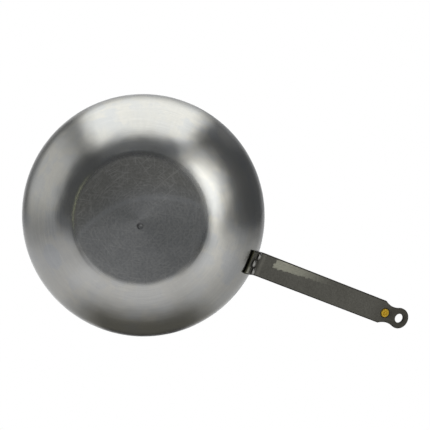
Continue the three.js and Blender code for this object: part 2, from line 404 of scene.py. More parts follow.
def wall_colour(tree, place, radius, patches, spots, brushed, combed):
    """The wall's steel: patches, stains, blued patches, brushed lines, scratches and a darker band at the
    rim.
    """
    colour = blend_colour(tree, patches, *WALL_COLOURS)
    colour = overlay(tree, colour, spots, 0.35, STAIN_COLOUR)
    heated = use(tree, CLOUDY, place=place, size=BLUED_SIZE, softness=0.07)["Patches"]
    blued = maths(tree, "MULTIPLY", patches, heated)
    blued_spot = maths(tree, "MULTIPLY_ADD", spots, SPOT_WAVER, distance_from(tree, place, BLUED_PLACE))
    blued = maths(tree, "MAXIMUM", blued, ramp(tree, blued_spot, *BLUED_RADII))
    colour = overlay(tree, colour, blued, 0.55, BLUED_COLOUR)
    around_lines = stretched(tree, brushed["Streaks"], *LINE_RANGE)
    upright_lines = stretched(tree, combed["Streaks"], *LINE_RANGE)
    lines = maths(tree, "MULTIPLY_ADD", upright_lines, 0.4, around_lines)
    colour = overlay(tree, colour, lines, 0.16, SCRATCH_COLOUR)
    colour = overlay(tree, colour, brushed["Scratches"], 0.2, SCRATCH_COLOUR)
    # A darker band over the last few millimetres to the rim
    at_rim = ramp(tree, radius, RIM_RADIUS - RIM_BAND_WIDTH, RIM_RADIUS)
    return blend_colour(tree, at_rim, colour, RIM_BAND_COLOUR)


def steel_roughness(tree, radius, patches, streaks, grain, on_base):
    """A satin wall, a duller base, and a bend between them that is a little duller than the wall."""
    bend = maths(
        tree,
        "MULTIPLY",
        ramp(tree, radius, BASE_RADIUS - 0.008, BASE_RADIUS),
        ramp(tree, radius, BASE_RADIUS + 0.016, BASE_RADIUS + 0.004),
    )
    dull = maths(tree, "MULTIPLY_ADD", streaks, 0.03, WALL_ROUGHNESS)
    dull = maths(tree, "MULTIPLY_ADD", patches, 0.02, dull)
    worn = maths(tree, "MULTIPLY", on_base, maths(tree, "MULTIPLY_ADD", grain, 0.06, BASE_ROUGHNESS))
    return maths(tree, "MULTIPLY_ADD", bend, 0.03, maths(tree, "ADD", dull, worn))


def steel_relief(tree, place, marks):
    """Faint waves from pressing all over, and the base's grain and scratches on them."""
    waves = node(tree, "ShaderNodeTexNoise", {"Vector": place, "Scale": WAVE_SCALE, "Detail": 1.0}).outputs[0]
    wavy = node(tree, "ShaderNodeBump", {"Height": waves, "Strength": 1.0, "Distance": WAVE_HEIGHT})
    strength, height = GRAIN_RELIEF
    inputs = {"Height": marks, "Normal": wavy.outputs[0], "Strength": strength, "Distance": height}
    return node(tree, "ShaderNodeBump", inputs).outputs[0]


def spun_steel():
    """Bare satin steel brushed in circles on the wall, and lapped to a duller grain on the base."""
    made, tree, shader, coords = material("spun steel")
    place = coords["Object"]
    flat = node(tree, "ShaderNodeVectorMath", {0: place, 1: (1, 1, 0)}, operation="MULTIPLY").outputs[0]
    radius = node(tree, "ShaderNodeVectorMath", {0: flat}, operation="LENGTH").outputs["Value"]
    spoke = node(tree, "ShaderNodeVectorMath", {0: flat}, operation="NORMALIZE").outputs[0]
    height = node(tree, "ShaderNodeSeparateXYZ", {0: place}).outputs["Z"]
    profile = maths(tree, "ADD", radius, maths(tree, "MULTIPLY", height, 0.8))
    flat_part = node(tree, "ShaderNodeSeparateXYZ", {0: flat}).outputs
    turn_round = maths(tree, "MULTIPLY", maths(tree, "ARCTAN2", flat_part["Y"], flat_part["X"]), 0.1)
    brushed = use(
        tree, STREAKS, across=profile, lengthwise=spoke,
        pitch=BRUSH_PITCH, run=BRUSH_RUN, scratch_share=0.45,
    )
    combed = use(
        tree, STREAKS, across=turn_round, lengthwise=profile,
        pitch=BRUSH_PITCH, run=COMB_RUN, scratch_share=0.3,
    )
    turned = use(
        tree, STREAKS, across=radius, lengthwise=spoke,
        pitch=LAP_PITCH, run=LAP_RUN, scratch_share=0.74,
    )
    patches = use(tree, CLOUDY, place=place, size=PATCH_SIZE, softness=0.25)["Patches"]
    spots = use(tree, CLOUDY, place=place, size=SPOT_SIZE, softness=0.3)["Patches"]
    on_base = ramp(tree, radius, BASE_RADIUS + 0.007, BASE_RADIUS - 0.003)
    strokes = crossing_strokes(tree, flat, turned["Scratches"])
    base, grain = base_colour(tree, coords, flat, strokes)
    wall = wall_colour(tree, place, radius, patches, spots, brushed, combed)
    steel = blend_colour(tree, on_base, wall, base)
    # A dark line of painted shadow and painted reflection along the flange's lower end
    colour = blend_colour(tree, flange_end_shade(tree, coords), steel, FLANGE_SHADE_COLOUR)
    tree.links.new(colour, shader.inputs["Base Color"])
    rough = steel_roughness(tree, radius, patches, brushed["Streaks"], grain, on_base)
    tree.links.new(rough, shader.inputs["Roughness"])
    marks = maths(tree, "MULTIPLY", maths(tree, "MULTIPLY_ADD", strokes, -0.5, grain), on_base)
    tree.links.new(steel_relief(tree, place, marks), shader.inputs["Normal"])
    around = node(tree, "ShaderNodeTangent", direction_type="RADIAL", axis="Z")
    tree.links.new(around.outputs[0], shader.inputs["Tangent"])
    shader.inputs["Metallic"].default_value = 1
    shader.inputs["Anisotropic"].default_value = BRUSHED_SHEEN
    shader.inputs["Anisotropic Rotation"].default_value = BRUSHED_TURN
    return made


def bowl_profile():
    """Half section of the bowl, from the middle of the underside round the rim to the middle inside."""
    fine_rings = [Vector((FINE_RING_STEP * i, 0)) for i in range(FINE_RINGS)]
    wide_rings = [Vector((BASE_RADIUS * i / BASE_RINGS, 0)) for i in range(3, BASE_RINGS)]
    edge = Vector((BASE_RADIUS, EDGE_RADIUS))
    inner = WALL_RADIUS - SHEET
    lip = BOWL_HEIGHT - RIM_ROUND
    outer_slope = slope_at(lip, WALL_RADIUS - RIM_ROUND)
    inner_slope = slope_at(lip, inner + RIM_ROUND)
    outer_lip = WALL_CENTRE + (WALL_RADIUS - RIM_ROUND) * along(outer_slope)
    inner_lip = WALL_CENTRE + (inner + RIM_ROUND) * along(inner_slope)
    return [
        *fine_rings,
        *wide_rings,
        *arc(edge, EDGE_RADIUS, 0, WALL_START, EDGE_STEPS),
        *arc(WALL_CENTRE, WALL_RADIUS, WALL_START, outer_slope, WALL_STEPS)[1:],
        *arc(outer_lip, RIM_ROUND, outer_slope, math.pi, LIP_STEPS)[1:],
        *arc(inner_lip, RIM_ROUND, math.pi, math.pi + inner_slope, LIP_STEPS),
        *arc(WALL_CENTRE, inner, inner_slope, WALL_START, WALL_STEPS)[1:],
        *arc(edge, EDGE_RADIUS - SHEET, WALL_START, 0, EDGE_STEPS)[1:],
        *[Vector((BASE_RADIUS * i / INNER_RINGS, SHEET)) for i in range(INNER_RINGS - 1, -1, -1)],
    ]


bowl_section = profile_mesh("bowl_profile", bowl_profile())
bowl = baked("steel_bowl", bowl_section, TURNED, Steps=BOWL_STEPS, Finish=spun_steel())
for vertex in bowl.data.vertices:
    gap = (vertex.co.xy - MARK_PLACE).length / MARK_RADIUS
    if gap < 1 and vertex.co.z < SHEET / 2:
        vertex.co.z += MARK_DEPTH * (1 - gap**2) ** 2
finish_mesh(bowl, BOWL_CREASE)
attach(bowl, "wok")
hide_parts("bowl")

# Handle. One strip of hot-rolled steel with its dark scale left on, sheared to shape and bent cold.
# Its lower end is pressed to the wall as a flange, and its far end is drawn in to a hanging eye.
STRIP_WIDTH = 0.0284
STRIP_THICKNESS = 0.003
STRIP_EDGE = 0.0005
CLEARANCE = 0.0003
FLANGE_BOTTOM = 0.028
FLANGE_TOP = 0.0035
BEND_RADIUS = 0.016
GRIP_RISE = math.radians(23.7)
GRIP_LENGTH = 0.199
EYE_RADIUS = 0.0127
EYE_HOLE_RADIUS = 0.0057
NECK_WIDTH = 0.0208
NECK_RADIUS = 0.024
PLUG_FROM_EYE = 0.0217
PLUG_HOLE_RADIUS = 0.0054
RIVET_LOW_DEPTH = 0.0175
RIVET_HIGH_DEPTH = 0.009
RIVET_SPACING = 0.0182
RIVET_ROWS = [
    (RIVET_LOW_DEPTH, 0),
    (RIVET_HIGH_DEPTH, RIVET_SPACING / 2),
    (RIVET_HIGH_DEPTH, -RIVET_SPACING / 2),
]
BEND_CUTS = 44
GRIP_CUTS = 20
GRIP_CUTS_TO_NECK = 17
SIDE_CUTS = 8
STRIP_CREASE = math.radians(35)
NECK_STEPS = 16
EYE_STEPS = 64
HOLE_STEPS = 48
# Where the painted reflection on the grip starts, ends and fades, and how ragged its edge is
SHEEN_START = 0.011
SHEEN_END = 0.088
SHEEN_FULL = 0.012
SHEEN_SCALE = 280.0
# Width of the painted shade along the strip's edges and round its holes, and its reach round the rivets
EDGE_SHADE_LINE = 0.0016
RIVET_SHADE = (0.0066, 0.0052)
EYE_FADE = 0.05
PIT_SIZE = 0.0022
SCALE_PATCH_SIZE = 0.02
SCALE_PITCH = 0.0009
SCALE_RUN = 0.03
SCALE_ROUGHNESS = 0.32
SCALE_RELIEF = (0.2, 0.0003)
SCALE_COLOURS = ((0.138, 0.134, 0.119, 1), (0.186, 0.181, 0.163, 1))
EYE_COLOUR = (0.088, 0.084, 0.072, 1)
SHEEN_COLOURS = ((0.335, 0.33, 0.275, 1), (0.52, 0.515, 0.435, 1))
# Colour of the painted shade at the strip's edges, in its holes, round the rivets and at the rivets' seats
EDGE_SHADE_COLOUR = (0.04, 0.038, 0.033, 1)
SHEARED_COLOUR = (0.16, 0.157, 0.105, 1)

FLANGE_SINK = STRIP_WIDTH**2 / (8 * RIM_RADIUS)
FLANGE_RADIUS = WALL_RADIUS + CLEARANCE - FLANGE_SINK + STRIP_THICKNESS / 2
FLANGE_START = slope_at(BOWL_HEIGHT - FLANGE_BOTTOM, FLANGE_RADIUS)
FLANGE_END = slope_at(BOWL_HEIGHT - FLANGE_TOP, FLANGE_RADIUS)
FLANGE_LENGTH = FLANGE_RADIUS * (FLANGE_END - FLANGE_START)
BEND_LENGTH = BEND_RADIUS * (FLANGE_END - GRIP_RISE)
BEND_CENTRE = WALL_CENTRE + (FLANGE_RADIUS + BEND_RADIUS) * along(FLANGE_END)
GRIP_START = BEND_CENTRE - BEND_RADIUS * along(GRIP_RISE)
GRIP_WAY = Vector((math.cos(GRIP_RISE), math.sin(GRIP_RISE)))
EYE_RUN = FLANGE_LENGTH + BEND_LENGTH + GRIP_LENGTH


def strip_place(run):
    """Middle of the strip in side view and its slope, at a run from the flange's lower end."""
    if run < FLANGE_LENGTH:
        slope = FLANGE_START + run / FLANGE_RADIUS
        return WALL_CENTRE + FLANGE_RADIUS * along(slope), slope
    if run < FLANGE_LENGTH + BEND_LENGTH:
        slope = FLANGE_END - (run - FLANGE_LENGTH) / BEND_RADIUS
        return BEND_CENTRE - BEND_RADIUS * along(slope), slope
    return GRIP_START + (run - FLANGE_LENGTH - BEND_LENGTH) * GRIP_WAY, GRIP_RISE


def ring(centre, radius, start, end, steps):
    """Points round a circle in the flat strip, from one angle to another."""
    turns = [start + (end - start) * i / steps for i in range(steps + 1)]
    return [Vector((centre[0] + radius * math.cos(t), centre[1] + radius * math.sin(t))) for t in turns]


def strip_outline():
    """Outline of the flat strip before bending: straight sides, shoulders, neck and eye."""
    half = STRIP_WIDTH / 2
    side = NECK_WIDTH / 2 + NECK_RADIUS
    back = math.sqrt((EYE_RADIUS + NECK_RADIUS) ** 2 - side**2)
    meet = math.atan2(side, -back)
    shoulder = math.asin((side - half) / NECK_RADIUS)
    lower_neck = ring((EYE_RUN - back, -side), NECK_RADIUS, math.pi - shoulder, math.pi - meet, NECK_STEPS)
    eye = ring((EYE_RUN, 0), EYE_RADIUS, -meet, meet, EYE_STEPS)
    upper_neck = ring((EYE_RUN - back, side), NECK_RADIUS, meet - math.pi, shoulder - math.pi, NECK_STEPS)
    return [Vector((0, -half)), *lower_neck, *eye[1:], *upper_neck[1:], Vector((0, half))]


def flat_strip():
    """The flat strip with its two holes and its edges rounded, as a mesh."""
    curve = bpy.data.curves.new("flat_strip", "CURVE")
    curve.dimensions = "2D"
    curve.fill_mode = "BOTH"
    curve.extrude = STRIP_THICKNESS / 2 - STRIP_EDGE
    curve.bevel_depth = STRIP_EDGE
    curve.bevel_resolution = 2
    curve.offset = -STRIP_EDGE
    eye_hole = ring((EYE_RUN, 0), EYE_HOLE_RADIUS, 0, -2 * math.pi, HOLE_STEPS)[:-1]
    plug_centre = (EYE_RUN - PLUG_FROM_EYE, 0)
    plug_hole = ring(plug_centre, PLUG_HOLE_RADIUS, 0, -2 * math.pi, HOLE_STEPS)[:-1]
    for points in (strip_outline(), eye_hole, plug_hole):
        spline = curve.splines.new("POLY")
        spline.points.add(len(points) - 1)
        for held, point in zip(spline.points, points):
            held.co = (point.x, point.y, 0, 1)
        spline.use_cyclic_u = True
    flat = bpy.data.objects.new("flat_strip", curve)
    bpy.context.scene.collection.objects.link(flat)
    mesh = bpy.data.meshes.new_from_object(flat.evaluated_get(bpy.context.evaluated_depsgraph_get()))
    bpy.data.objects.remove(flat)
    return mesh


def bent_strip():
    """The strip bent to shape, with its run and side kept as a UV map in metres."""
    work = bmesh.new()
    work.from_mesh(flat_strip())
    bmesh.ops.remove_doubles(work, verts=work.verts, dist=MERGE_GAP)
    bent = FLANGE_LENGTH + BEND_LENGTH
    bend_cuts = [bent * i / BEND_CUTS for i in range(1, BEND_CUTS + 1)]
    grip_cuts = [bent + GRIP_LENGTH * i / GRIP_CUTS for i in range(1, GRIP_CUTS_TO_NECK + 1)]
    for run in bend_cuts + grip_cuts:
        whole = [*work.verts, *work.edges, *work.faces]
        bmesh.ops.bisect_plane(work, geom=whole, dist=TOUCH, plane_co=(run, 0, 0), plane_no=(1, 0, 0))
    for side in [STRIP_WIDTH * i / SIDE_CUTS for i in range(1 - SIDE_CUTS // 2, SIDE_CUTS // 2)]:
        whole = [*work.verts, *work.edges, *work.faces]
        bmesh.ops.bisect_plane(work, geom=whole, dist=TOUCH, plane_co=(0, side, 0), plane_no=(0, 1, 0))
    layer = work.loops.layers.uv.new("strip")
    for face in work.faces:
        for corner in face.loops:
            corner[layer].uv = corner.vert.co.xy
    for vertex in work.verts:
        run, side, lift = vertex.co
        middle, slope = strip_place(run)
        fade = min(max((run - FLANGE_LENGTH) / (0.4 * BEND_LENGTH), 0), 1)
        press = (FLANGE_SINK - side**2 / (2 * RIM_RADIUS)) * (1 - fade)
        lift -= press * (lift / STRIP_THICKNESS + 0.5)
        point = middle - lift * along(slope)
        vertex.co = (point.x, side, point.y)
    mesh = bpy.data.meshes.new("bent_strip")
    work.to_mesh(mesh)
    work.free()
    return mesh


def painted_sheen_mask(tree, place, run, side):
    """Painted reflection of a bright light: a long ragged light patch on the grip's upper half, and a painted
    highlight on a corner of the flange.
    """
    noise = node(tree, "ShaderNodeTexNoise", {"Vector": place, "Scale": SHEEN_SCALE, "Detail": 3.0})
    ragged = maths(tree, "SUBTRACT", noise.outputs[0], 0.5)
    start = FLANGE_LENGTH + BEND_LENGTH + SHEEN_START
    lead = maths(tree, "MULTIPLY_ADD", ragged, 0.011, maths(tree, "MULTIPLY_ADD", side, 0.2, run))
    begins = ramp(tree, lead, start - 0.0008, start + 0.0012)
    fades = ramp(tree, run, start + SHEEN_END, start + SHEEN_FULL)
    border = maths(tree, "MULTIPLY_ADD", maths(tree, "SUBTRACT", run, start), -0.06, -0.002)
    strayed = maths(tree, "MULTIPLY_ADD", ragged, 0.006, maths(tree, "SUBTRACT", side, border))
    beside = ramp(tree, strayed, 0.0007, -0.0007)
    patch = maths(tree, "MULTIPLY", maths(tree, "MULTIPLY", begins, fades), beside)
    low = maths(tree, "MULTIPLY", ramp(tree, run, 0.0006, 0.0014), ramp(tree, run, 0.008, 0.006))
    return maths(tree, "MAXIMUM", patch, maths(tree, "MULTIPLY", low, ramp(tree, side, 0.004, 0.006)))


def edge_shade_mask(tree, place, run, side):
    """Painted shade as dark lines along the strip's outline, in its holes and round the rivets."""
    neck_side = NECK_WIDTH / 2 + NECK_RADIUS
    neck_run = EYE_RUN - math.sqrt((EYE_RADIUS + NECK_RADIUS) ** 2 - neck_side**2)
    eye = distance_from(tree, place, (EYE_RUN, 0, 0))
    plug = distance_from(tree, place, (EYE_RUN - PLUG_FROM_EYE, 0, 0))
    beyond = ramp(tree, run, EYE_RUN - 0.006, EYE_RUN)
    masks = [
        ramp(tree, maths(tree, "ABSOLUTE", side), STRIP_WIDTH / 2 - 0.0017, STRIP_WIDTH / 2 - 0.0007),
        maths(tree, "MULTIPLY", ramp(tree, eye, EYE_RADIUS - EDGE_SHADE_LINE, EYE_RADIUS), beyond),
        ramp(tree, eye, EYE_HOLE_RADIUS + 0.0005, EYE_HOLE_RADIUS),
        ramp(tree, plug, PLUG_HOLE_RADIUS + EDGE_SHADE_LINE, PLUG_HOLE_RADIUS + 0.0004),
    ]
    for centre in ((neck_run, neck_side, 0), (neck_run, -neck_side, 0)):
        masks.append(ramp(tree, distance_from(tree, place, centre), NECK_RADIUS + EDGE_SHADE_LINE, NECK_RADIUS))
    for depth, across_strip in RIVET_ROWS:
        rivet_run = FLANGE_RADIUS * (slope_at(BOWL_HEIGHT - depth, FLANGE_RADIUS) - FLANGE_START)
        apart = distance_from(tree, place, (rivet_run, across_strip, 0))
        masks.append(ramp(tree, apart, *RIVET_SHADE))
    mask = masks[0]
    for other in masks[1:]:
        mask = maths(tree, "MAXIMUM", mask, other)
    return mask


def strip_steel():
    """Dark mill scale drawn along the strip, darker towards the eye, with painted shade along its edges, in
    its holes and round the rivets, and a painted reflection on the grip past the bend.
    """
    made, tree, shader, coords = material("dark strip steel")
    run_side = node(tree, "ShaderNodeUVMap", uv_map="strip").outputs[0]
    part = node(tree, "ShaderNodeSeparateXYZ", {0: run_side}).outputs
    drawn = use(
        tree, STREAKS, across=part["Y"], lengthwise=run_side,
        pitch=SCALE_PITCH, run=SCALE_RUN, scratch_share=0.3,
    )
    pitted = use(tree, CLOUDY, place=coords["Object"], size=PIT_SIZE, softness=0.22)["Patches"]
    patches = use(tree, CLOUDY, place=coords["Object"], size=SCALE_PATCH_SIZE, softness=0.3)["Patches"]
    uneven = maths(tree, "MULTIPLY_ADD", pitted, 0.6, maths(tree, "MULTIPLY", patches, 0.4))
    scale = blend_colour(tree, uneven, *SCALE_COLOURS)
    scale = blend_colour(tree, ramp(tree, part["X"], EYE_RUN - EYE_FADE, EYE_RUN), scale, EYE_COLOUR)
    # A painted reflection on the grip and a painted highlight on a flange corner, laid over the scale on the
    # underside
    sheen_grain = maths(tree, "MULTIPLY_ADD", pitted, 0.4, drawn["Streaks"])
    sheen_colour = blend_colour(tree, sheen_grain, *SHEEN_COLOURS)
    sheen = painted_sheen_mask(tree, run_side, part["X"], part["Y"])
    colour = blend_colour(tree, maths(tree, "MULTIPLY", sheen, underside(tree, coords)), scale, sheen_colour)
    # Painted shade along the strip's edges, in its holes and round the rivet heads
    colour = blend_colour(tree, edge_shade_mask(tree, run_side, part["X"], part["Y"]), colour, EDGE_SHADE_COLOUR)
    end = ramp(tree, part["X"], 0.0007, 0.0003)
    tree.links.new(blend_colour(tree, end, colour, SHEARED_COLOUR), shader.inputs["Base Color"])
    rough = maths(tree, "MULTIPLY_ADD", drawn["Streaks"], 0.12, SCALE_ROUGHNESS)
    tree.links.new(maths(tree, "MULTIPLY_ADD", uneven, 0.1, rough), shader.inputs["Roughness"])
    relief = maths(tree, "MULTIPLY_ADD", pitted, 0.8, drawn["Streaks"])
    strength, height = SCALE_RELIEF
    bump = node(tree, "ShaderNodeBump", {"Height": relief, "Strength": strength, "Distance": height})
    tree.links.new(bump.outputs[0], shader.inputs["Normal"])
    shader.inputs["Metallic"].default_value = 1
    return made


handle = bpy.data.objects.new("strip_handle", bent_strip())
bpy.context.scene.collection.objects.link(handle)
handle.data.materials.clear()
handle.data.materials.append(strip_steel())
finish_mesh(handle, STRIP_CREASE)
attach(handle, "wok")
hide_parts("handle")

# Rivets. Three steel rivets hold the flange, one low in the middle and two high at the sides.
# Their round heads are outside, and the flatter set heads inside the bowl.
RIVET_SHANK_RADIUS = 0.0026
RIVET_HEAD_RADIUS = 0.0048
RIVET_HEAD_HEIGHT = 0.0026
RIVET_INNER_RADIUS = 0.0054
RIVET_INNER_HEIGHT = 0.0015
RIVET_STEPS = 40
RIVET_ARC_STEPS = 10
RIVET_CREASE = math.radians(40)
RIVET_COLOURS = ((0.42, 0.415, 0.40, 1), (0.58, 0.575, 0.56, 1))
RIVET_PATCH_SIZE = 0.0022
RIVET_ROUGHNESS = 0.24
RIVET_RELIEF = (0.25, 0.0003)
# Heights on the head over which the painted shade at the seat turns to the painted highlight at the crown
CROWN_LIGHT = (0.1, 0.75)
RIVET_SEAT = 2 * CLEARANCE - FLANGE_SINK + STRIP_THICKNESS
RIVET_INSIDE = -SHEET - CLEARANCE


def rivet_profile():
    """Half section of a rivet from its set head inside to its round head, along its own Z."""
    quarter = [math.pi / 2 * i / RIVET_ARC_STEPS for i in range(RIVET_ARC_STEPS + 1)]
    set_head = [
        Vector((RIVET_INNER_RADIUS * math.sin(t), RIVET_INSIDE - RIVET_INNER_HEIGHT * math.cos(t)))
        for t in quarter
    ]
    round_head = [
        Vector((RIVET_HEAD_RADIUS * math.cos(t), RIVET_SEAT + RIVET_HEAD_HEIGHT * math.sin(t)))
        for t in quarter
    ]
    shank = [Vector((RIVET_SHANK_RADIUS, RIVET_INSIDE)), Vector((RIVET_SHANK_RADIUS, RIVET_SEAT))]
    return [*set_head, *shank, *round_head]


def rivets_tree():
    """Sets a copy of the rivet at each point, with its Z along the point's own outward normal."""
    tree = bpy.data.node_groups.new("set rivets", "GeometryNodeTree")
    given, made = sockets(
        tree,
        {"Places": ("Geometry", None), "Rivet": ("Object", None), "Finish": ("Material", None)},
        {"Rivets": "Geometry"},
    )
    one = node(tree, "GeometryNodeObjectInfo", {"Object": given["Rivet"]})
    outward = node(tree, "GeometryNodeInputNamedAttribute", {"Name": "outward"}, data_type="FLOAT_VECTOR")
    turn = node(tree, "FunctionNodeAlignRotationToVector", {"Vector": outward.outputs[0]}, axis="Z")
    copies = node(tree, "GeometryNodeInstanceOnPoints", {
        "Points": given["Places"],
        "Instance": one.outputs["Geometry"],
        "Rotation": turn.outputs[0],
    })
    plain = node(tree, "GeometryNodeRealizeInstances", {"Geometry": copies.outputs[0]})
    done = node(tree, "GeometryNodeSetMaterial", {"Geometry": plain.outputs[0], "Material": given["Finish"]})
    tree.links.new(done.outputs[0], made["Rivets"])
    return tree


def rivet_places():
    """Points on the wall's outer surface, each with the wall's outward normal."""
    mesh = bpy.data.meshes.new("rivet_places")
    points, normals = [], []
    for depth, side in RIVET_ROWS:
        slope = slope_at(BOWL_HEIGHT - depth, WALL_RADIUS)
        place = WALL_CENTRE + WALL_RADIUS * along(slope)
        points.append((place.x, side, place.y))
        normals.append((math.sin(slope), 0, -math.cos(slope)))
    mesh.from_pydata(points, [], [])
    outward = mesh.attributes.new("outward", "FLOAT_VECTOR", "POINT")
    for held, normal in zip(outward.data, normals):
        held.vector = normal
    return mesh


def rivet_steel():
    """Hammered rivet steel, with painted shade at the seat of each head and a painted highlight towards the
    crown.
    """
    made, tree, shader, coords = material("rivet steel")
    crown = node(tree, "ShaderNodeAttribute", attribute_name="crown").outputs["Fac"]
    patches = use(tree, CLOUDY, place=coords["Object"], size=RIVET_PATCH_SIZE, softness=0.25)["Patches"]
    steel = blend_colour(tree, patches, *RIVET_COLOURS)
    # Painted shade at the seat of each head, growing lighter as a painted highlight towards the crown
    colour = blend_colour(tree, ramp(tree, crown, *CROWN_LIGHT), EDGE_SHADE_COLOUR, steel)
    tree.links.new(colour, shader.inputs["Base Color"])
    tree.links.new(maths(tree, "MULTIPLY_ADD", patches, 0.14, RIVET_ROUGHNESS), shader.inputs["Roughness"])
    strength, height = RIVET_RELIEF
    bump = node(tree, "ShaderNodeBump", {"Height": patches, "Strength": strength, "Distance": height})
    tree.links.new(bump.outputs[0], shader.inputs["Normal"])
    shader.inputs["Metallic"].default_value = 1
    return made


one_rivet = baked("one_rivet", profile_mesh("rivet_profile", rivet_profile()), TURNED, Steps=RIVET_STEPS)
crown = one_rivet.data.attributes.new("crown", "FLOAT", "POINT")
for held, vertex in zip(crown.data, one_rivet.data.vertices):
    outer = (vertex.co.z - RIVET_SEAT) / RIVET_HEAD_HEIGHT
    inner = (RIVET_INSIDE - vertex.co.z) / RIVET_INNER_HEIGHT
    held.value = max(outer, inner, 0)
rivets = baked("rivets", rivet_places(), rivets_tree(), Rivet=one_rivet, Finish=rivet_steel())
bpy.data.objects.remove(one_rivet)
finish_mesh(rivets, RIVET_CREASE)
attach(rivets, "wok")
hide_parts("rivet_lower", "rivet_upper_left", "rivet_upper_right")

# Plug. A soft round button of golden yellow silicone, moulded in one piece and pushed into its hole
# in the strip from the top, so that the dished end of its shank shows on the underside.
PLUG_SHANK_RADIUS = 0.0051
PLUG_HEAD_RADIUS = 0.0068
PLUG_HEAD_HEIGHT = 0.0016
PLUG_STAND_OUT = 0.0006
PLUG_DISH_RADIUS = 0.0031
PLUG_BUTTON_RADIUS = 0.0014
PLUG_DISH_DEPTH = 0.0008
PLUG_ROUND = 0.0004
PLUG_STEPS = 48
PLUG_DISH_STEPS = 10
PLUG_CROWN_STEPS = 12
PLUG_CORNER_STEPS = 6
PLUG_CROWN_BULGE = 0.7
PLUG_CREASE = math.radians(40)
SILICONE_COLOURS = ((0.80, 0.49, 0.014, 1), (0.90, 0.57, 0.025, 1))
SILICONE_PATCH_SIZE = 0.003
SILICONE_ROUGHNESS = 0.48
SKIN_SCALE = 4000.0
SKIN_RELIEF = (0.15, 0.0001)


def plug_profile():
    """Half section of the plug from the ring sunk in its end to the crown of its head, along its own Z."""
    top = STRIP_THICKNESS / 2 + CLEARANCE
    end = -STRIP_THICKNESS / 2 - PLUG_STAND_OUT
    shares = [i / PLUG_DISH_STEPS for i in range(PLUG_DISH_STEPS + 1)]
    groove = PLUG_DISH_RADIUS - PLUG_BUTTON_RADIUS
    dish = [
        Vector((PLUG_BUTTON_RADIUS + groove * t, end + PLUG_DISH_DEPTH * math.sin(math.pi * t) ** 2))
        for t in shares
    ]
    corner = Vector((PLUG_SHANK_RADIUS - PLUG_ROUND, end + PLUG_ROUND))
    quarter = [math.pi / 2 * i / PLUG_CROWN_STEPS for i in range(PLUG_CROWN_STEPS)]
    crown = [
        Vector((PLUG_HEAD_RADIUS * math.cos(t) ** PLUG_CROWN_BULGE, top + PLUG_HEAD_HEIGHT * math.sin(t)))
        for t in quarter
    ]
    return [
        Vector((0, end)),
        *dish,
        *arc(corner, PLUG_ROUND, 0, math.pi / 2, PLUG_CORNER_STEPS),
        Vector((PLUG_SHANK_RADIUS, top)),
        *crown,
        Vector((0, top + PLUG_HEAD_HEIGHT)),
    ]


def yellow_silicone():
    """Matte silicone with a slight cloudiness and the fine skin of its mould."""
    made, tree, shader, coords = material("yellow silicone")
    patches = use(tree, CLOUDY, place=coords["Object"], size=SILICONE_PATCH_SIZE, softness=0.3)["Patches"]
    colour = blend_colour(tree, patches, *SILICONE_COLOURS)
    tree.links.new(colour, shader.inputs["Base Color"])
    tree.links.new(maths(tree, "MULTIPLY_ADD", patches, 0.1, SILICONE_ROUGHNESS), shader.inputs["Roughness"])
    skin = node(tree, "ShaderNodeTexNoise", {"Vector": coords["Object"], "Scale": SKIN_SCALE})
    strength, height = SKIN_RELIEF
    bump = node(tree, "ShaderNodeBump", {"Height": skin.outputs[0], "Strength": strength, "Distance": height})
    tree.links.new(bump.outputs[0], shader.inputs["Normal"])
    return made


plug_section = profile_mesh("plug_profile", plug_profile())
plug = baked("silicone_plug", plug_section, TURNED, Steps=PLUG_STEPS, Finish=yellow_silicone())
plug_middle, _ = strip_place(EYE_RUN - PLUG_FROM_EYE)
plug.data.transform(
    Matrix.Translation((plug_middle.x, 0, plug_middle.y)) @ Matrix.Rotation(-GRIP_RISE, 4, "Y")
)
finish_mesh(plug, PLUG_CREASE)
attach(plug, "plug")
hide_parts("handle_plug")

# Studio. Soft panels round the wok, white where the camera looks past it, and a pale floor under it. The
# photograph looks up at the underside, so the floor is clear from below and for light that came through.
FLOOR_DROP = 0.0003
FLOOR_SIZE = 6.0
FLOOR_FADE = (0.3, 0.95)
FLOOR_WHITE = 0.4
FLOOR_COLOUR = (0.9, 0.9, 0.9, 1)
FLOOR_ROUGHNESS = 0.7
ROOM_LIGHT = (0.078, 0.081, 0.084)
DARKEST = (0.03, 0.03, 0.03)
CAMERA_PLACE = (0.04467, -0.11025, -1.61364)
CAMERA_LOOK = Vector((0.01826, 0.04551, 0.9988))
CAMERA_RIGHT = Vector((0.92136, -0.3887, 0.00087))
CAMERA_LENS = 123.62
CAMERA_SENSOR = 36.0
CAMERA_REACH = 100

